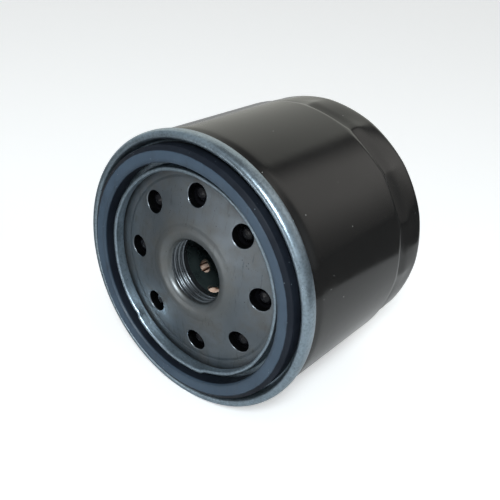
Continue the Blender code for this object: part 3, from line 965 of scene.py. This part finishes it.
def plain_sheet(name, half_width, color, emission=0.0):
    """Flat sheet for the stage, with a matt finish."""
    bm = bmesh.new()
    bmesh.ops.create_grid(bm, x_segments=1, y_segments=1, size=half_width)
    mesh = bpy.data.meshes.new(name)
    bm.to_mesh(mesh)
    bm.free()
    matt = bpy.data.materials.new(name)
    matt.use_nodes = True
    shader = matt.node_tree.nodes["Principled BSDF"]
    shader.inputs["Base Color"].default_value = (*color, 1.0)
    shader.inputs["Roughness"].default_value = 0.8
    shader.inputs["Emission Color"].default_value = (1.0, 1.0, 1.0, 1.0)
    shader.inputs["Emission Strength"].default_value = emission
    mesh.materials.append(matt)
    sheet = bpy.data.objects.new(name, mesh)
    bpy.context.scene.collection.objects.link(sheet)
    return sheet


def shade_card(material):
    """Paints the card as in shade, darkest in front of the filter on its left, and as lit behind
    it, with a glow.
    """
    tree = material.node_tree
    split = tree.nodes.new("ShaderNodeSeparateXYZ")
    position = tree.nodes.new("ShaderNodeNewGeometry").outputs["Position"]
    tree.links.new(position, split.inputs["Vector"])
    fades = []
    for source, low, high, top in (("X", -0.09, 0.03, 0.40), ("Y", -0.03, 0.03, 0.36)):
        fade = tree.nodes.new("ShaderNodeMapRange")
        fade.interpolation_type = "SMOOTHSTEP"
        fade.inputs["From Min"].default_value = low
        fade.inputs["From Max"].default_value = high
        fade.inputs["To Max"].default_value = top
        tree.links.new(split.outputs[source], fade.inputs["Value"])
        fades.append(fade.outputs["Result"])
    lighter = tree.nodes.new("ShaderNodeMath")
    lighter.operation = "MAXIMUM"
    tree.links.new(fades[0], lighter.inputs[0])
    tree.links.new(fades[1], lighter.inputs[1])
    # Base colour of the card: painted shade, darkest in front of the filter on its left.
    level = tree.nodes.new("ShaderNodeMath")
    level.inputs[1].default_value = 0.15
    tree.links.new(lighter.outputs["Value"], level.inputs[0])
    shader = tree.nodes["Principled BSDF"]
    tree.links.new(level.outputs["Value"], shader.inputs["Base Color"])
    # Painted light: the card glows behind the filter.
    glow = tree.nodes.new("ShaderNodeMath")
    glow.operation = "MULTIPLY"
    glow.inputs[1].default_value = 0.45
    tree.links.new(fades[1], glow.inputs[0])
    tree.links.new(glow.outputs["Value"], shader.inputs["Emission Strength"])


def only_in_reflections(sheet):
    sheet.visible_camera = False
    sheet.visible_diffuse = False
    sheet.visible_shadow = False
    sheet.visible_transmission = False


def standing_card(name, color, emission, scale, azimuth, reach, centre):
    """Upright card facing a place, which only reflections show. Azimuth runs from +Y to +X."""
    card = plain_sheet(name, 0.5, color, emission)
    angle = math.radians(azimuth)
    x, y, z = centre
    card.scale = (*scale, 1.0)
    card.rotation_euler = (math.pi / 2, 0.0, -angle)
    card.location = (x + reach * math.sin(angle), y + reach * math.cos(angle), z)
    only_in_reflections(card)


def stage():
    """White floor under the rim and the can's wall, and cards that only reflections show."""
    low_rim = AXIS_Z - RIM_RADIUS
    low_can = AXIS_Z - CAN_RADIUS
    tilt = math.atan2(low_can - low_rim, CAN_TOUCH - ROLL_MIDDLE)
    floor = plain_sheet("floor", 3.0, (0.93, 0.93, 0.93), 0.36)
    floor.rotation_euler = (tilt, 0.0, 0.0)
    floor.location = Vector((0.0, FACE_Y + ROLL_MIDDLE, low_rim)) * MM
    table = plain_sheet("table_card", 0.9, (0.48, 0.49, 0.48))
    table.rotation_euler = floor.rotation_euler
    table.location = floor.location + Vector((0.0, 0.0, 0.3 * MM))
    shade_card(table.active_material)
    only_in_reflections(table)
    standing_card("dark_flag", (0.06, 0.06, 0.06), 0.0, (0.40, 0.115), 38, 0.125, (0.03, 0.0, 0.0))
    face = (0.0, FACE_Y * MM, 0.004)
    standing_card("front_strip", (0.9, 0.9, 0.9), 2.4, (0.09, 0.045), -162, 0.16, face)


def lamp(name, place, aim, width, height, watts, color=(1.0, 1.0, 1.0)):
    data = bpy.data.lights.new(name, "AREA")
    data.shape = "RECTANGLE"
    data.size = width
    data.size_y = height
    data.energy = watts
    data.color = color
    item = bpy.data.objects.new(name, data)
    item.location = place
    item.rotation_euler = (Vector(aim) - Vector(place)).to_track_quat("-Z", "Y").to_euler()
    bpy.context.scene.collection.objects.link(item)


def studio_world():
    """Dim surroundings, two softboxes behind the filter with a gap between, one on each side."""
    world = bpy.data.worlds.new("studio")
    world.use_nodes = True
    bpy.context.scene.world = world
    tree = world.node_tree
    background = tree.nodes["Background"]
    direction = tree.nodes.new("ShaderNodeTexCoord").outputs["Generated"]
    split = tree.nodes.new("ShaderNodeSeparateXYZ")
    tree.links.new(direction, split.inputs["Vector"])

    def math_node(kind, a, b=None):
        node = tree.nodes.new("ShaderNodeMath")
        node.operation = kind
        for socket, value in zip(node.inputs, (a, b)):
            if isinstance(value, (int, float)):
                socket.default_value = value
            elif value is not None:
                tree.links.new(value, socket)
        return node.outputs["Value"]

    def window(source, low, high, soft_low, soft_high):
        """1 between low and high, in degrees, fading over the soft widths."""
        sides = []
        for edge, soft, sign in ((low, soft_low, 1), (high, soft_high, -1)):
            node = tree.nodes.new("ShaderNodeMapRange")
            node.interpolation_type = "SMOOTHSTEP"
            node.inputs["From Min"].default_value = math.radians(edge - sign * soft / 2)
            node.inputs["From Max"].default_value = math.radians(edge + sign * soft / 2)
            tree.links.new(source, node.inputs["Value"])
            sides.append(node.outputs["Result"])
        return math_node("MULTIPLY", *sides)

    azimuth = math_node("ARCTAN2", split.outputs["X"], split.outputs["Y"])
    elevation = math_node("ARCSINE", split.outputs["Z"])
    total = None
    for across, up, level, tint in (
        # azimuths from +Y towards +X with their soft edges, then elevations, level and tint
        ((-180.0, 180.0, 1.0, 1.0), (-90.0, 90.0, 1.0, 1.0), 0.10, (1.0, 1.0, 1.0)),
        ((9.0, 40.0, 18.0, 26.0), (12.0, 60.0, 28.0, 20.0), 0.72, (1.0, 0.97, 0.92)),
        ((-75.0, -2.5, 20.0, 9.0), (-4.0, 46.0, 10.0, 30.0), 0.62, (1.0, 1.01, 0.92)),
        ((-150.0, -65.0, 30.0, 30.0), (-5.0, 70.0, 20.0, 30.0), 0.26, (0.90, 1.0, 1.05)),
        ((55.0, 178.0, 30.0, 20.0), (5.0, 75.0, 30.0, 20.0), 0.42, (0.92, 1.0, 1.05)),
    ):
        part = math_node("MULTIPLY", window(azimuth, *across), window(elevation, *up))
        shade = tree.nodes.new("ShaderNodeMix")
        shade.data_type = "RGBA"
        shade.inputs[6].default_value = (0.0, 0.0, 0.0, 1.0)
        shade.inputs[7].default_value = (*[channel * level for channel in tint], 1.0)
        tree.links.new(part, shade.inputs[0])
        if total is None:
            total = shade.outputs[2]
            continue
        add = tree.nodes.new("ShaderNodeMix")
        add.data_type = "RGBA"
        add.blend_type = "ADD"
        add.inputs[0].default_value = 1.0
        tree.links.new(total, add.inputs[6])
        tree.links.new(shade.outputs[2], add.inputs[7])
        total = add.outputs[2]
    tree.links.new(total, background.inputs["Color"])


def light():
    studio_world()
    middle = Vector((0.0, FACE_Y * MM, AXIS_Z * MM))
    key = Vector((math.sin(KEY_AZIMUTH) * math.cos(KEY_ELEVATION),
                  math.cos(KEY_AZIMUTH) * math.cos(KEY_ELEVATION),
                  math.sin(KEY_ELEVATION))) * KEY_REACH
    lamp("key_softbox", middle + key, middle, 0.13, 0.13, 3.0, (0.90, 0.97, 1.0))


def camera():
    data = bpy.data.cameras.new("camera")
    data.lens = VIEW_LENS
    data.sensor_width = 36.0
    data.clip_start = 0.01
    item = bpy.data.objects.new("camera", data)
    forward = VIEW_FORWARD.normalized()
    right = (VIEW_RIGHT - forward * VIEW_RIGHT.dot(forward)).normalized()
    up = right.cross(forward)
    turn = Matrix((right, up, -forward)).transposed()
    place = Matrix.Translation((Vector((0.0, FACE_Y, AXIS_Z)) + VIEW_OFFSET) * MM)
    item.matrix_world = place @ turn.to_4x4()
    bpy.context.scene.collection.objects.link(item)
    bpy.context.scene.camera = item


def main():
    camera()
    light()
    stage()
    bpy.context.scene.view_settings.view_transform = "Standard"

    zinc = zinc_plate()
    steel = bare_steel()
    spring = spring_steel()
    rubber = valve_rubber()
    resin = potting_resin()
    body = "filter_body"
    dress(canister(black_paint()), body, ["canister"])
    dress(seam_retainer(zinc), body, ["seam_retainer"])
    dress(gasket(gasket_rubber()), body, ["gasket"])
    cut = worked_steel("thread_cut_steel", (0.20, 0.22, 0.24), (0.25, 0.275, 0.30), 0.26)
    # Hole walls: steel painted very dark, as painted shade inside the holes.
    hole_wall_shade = worked_steel("hole_wall_steel_painted_shade", (0.025, 0.027, 0.030), (0.05, 0.052, 0.055), 0.30)
    # Rubbed hole edges: smoother steel, partly real burnish, and lighter in colour as a painted
    # highlight.
    rubbed = worked_steel("rubbed_edge_steel_painted_highlight", (0.20, 0.225, 0.25), (0.28, 0.31, 0.34), 0.32)
    dress(base_plate((steel, cut, hole_wall_shade, rubbed)), body, ["base_plate"])
    valve = antidrain_valve(rubber)
    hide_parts("antidrain_collar", "antidrain_lip")
    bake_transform(valve)
    dress(punched_tube(dark_steel()), body, ["center_tube"])
    dress(pleated_paper(tan_paper()), body, ["filter_media"])
    coil = dress(coil_spring(spring), body, ["bypass_spring"])
    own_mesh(coil)
    # CAD nodes that are kept as they are inside the filter, apart from their finishes
    for node, finish in (
        ("seam_compound", resin),
        ("open_end_cap", zinc),
        ("closed_end_cap", zinc),
        ("open_end_potting", resin),
        ("closed_end_potting", resin),
        ("media_clip", spring),
        ("bypass_housing", zinc),
        ("bypass_seat_ring", rubber),
        ("bypass_poppet", spring),
        ("bypass_spring_retainer", spring),
        ("element_spring", spring),
    ):
        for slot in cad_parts[node].material_slots:
            slot.material = finish


main()
